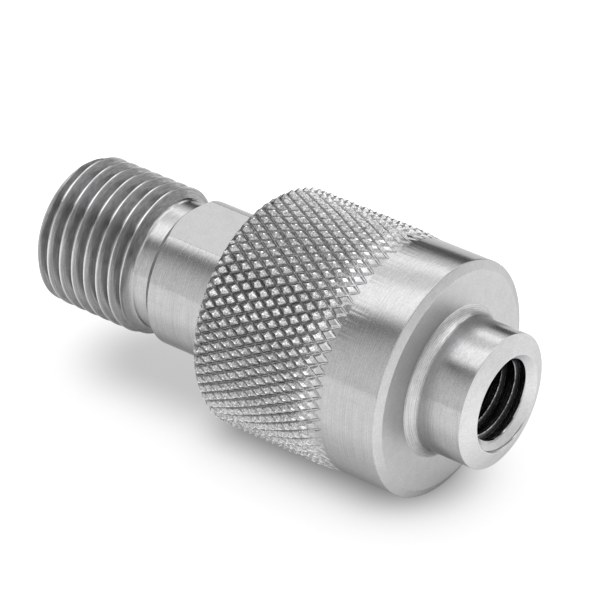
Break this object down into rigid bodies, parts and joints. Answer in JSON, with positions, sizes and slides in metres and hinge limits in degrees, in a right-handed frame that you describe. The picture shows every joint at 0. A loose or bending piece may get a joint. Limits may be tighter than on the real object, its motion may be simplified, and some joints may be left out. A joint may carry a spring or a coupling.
{
  "type": "quick test coupling",
  "caption": "Hand-tightened tube fitting test coupling: a knurled nut with a threaded nose turns on a rear body with a male thread and wrench flats, round a sealing stem.",
  "frame": {"origin": "centre of the rear end face that the coupling stands on", "axes": "+Z along the coupling's axis, from the male thread to the nose; the two wrench flats face -Y and +Y"},
  "size_m": [0.0202, 0.0202, 0.0427],
  "materials": {
    "body_steel": "turned stainless steel, satin",
    "nut_steel": "turned and knurled stainless steel, satin",
    "stem_steel": "fine turned stainless steel",
    "spring_steel": "spring steel, rolled",
    "washer_steel": "hardened steel, ground",
    "white_plastic": "white low-friction plastic, matt",
    "seal_rubber": "black rubber, matt"
  },
  "bodies": {
    "rear_unit": {"rear_body": "body_steel", "sealing_stem": "stem_steel", "stem_seal_ring": "seal_rubber", "stem_backup_ring": "white_plastic", "tip_backup_ring": "white_plastic", "tip_seal_ring": "seal_rubber", "front_slip_washer": "white_plastic"},
    "nut_unit": {"coupling_nut": "nut_steel", "retaining_ring": "spring_steel", "thrust_washer": "washer_steel", "rear_slip_washer": "white_plastic"}
  },
  "joints": [
    {"name": "nut_swivel", "type": "hinge", "parent": "rear_unit", "child": "nut_unit", "pos_m": [0, 0, 0.026], "axis": [0, 0, 1], "continuous": true}
  ]
}
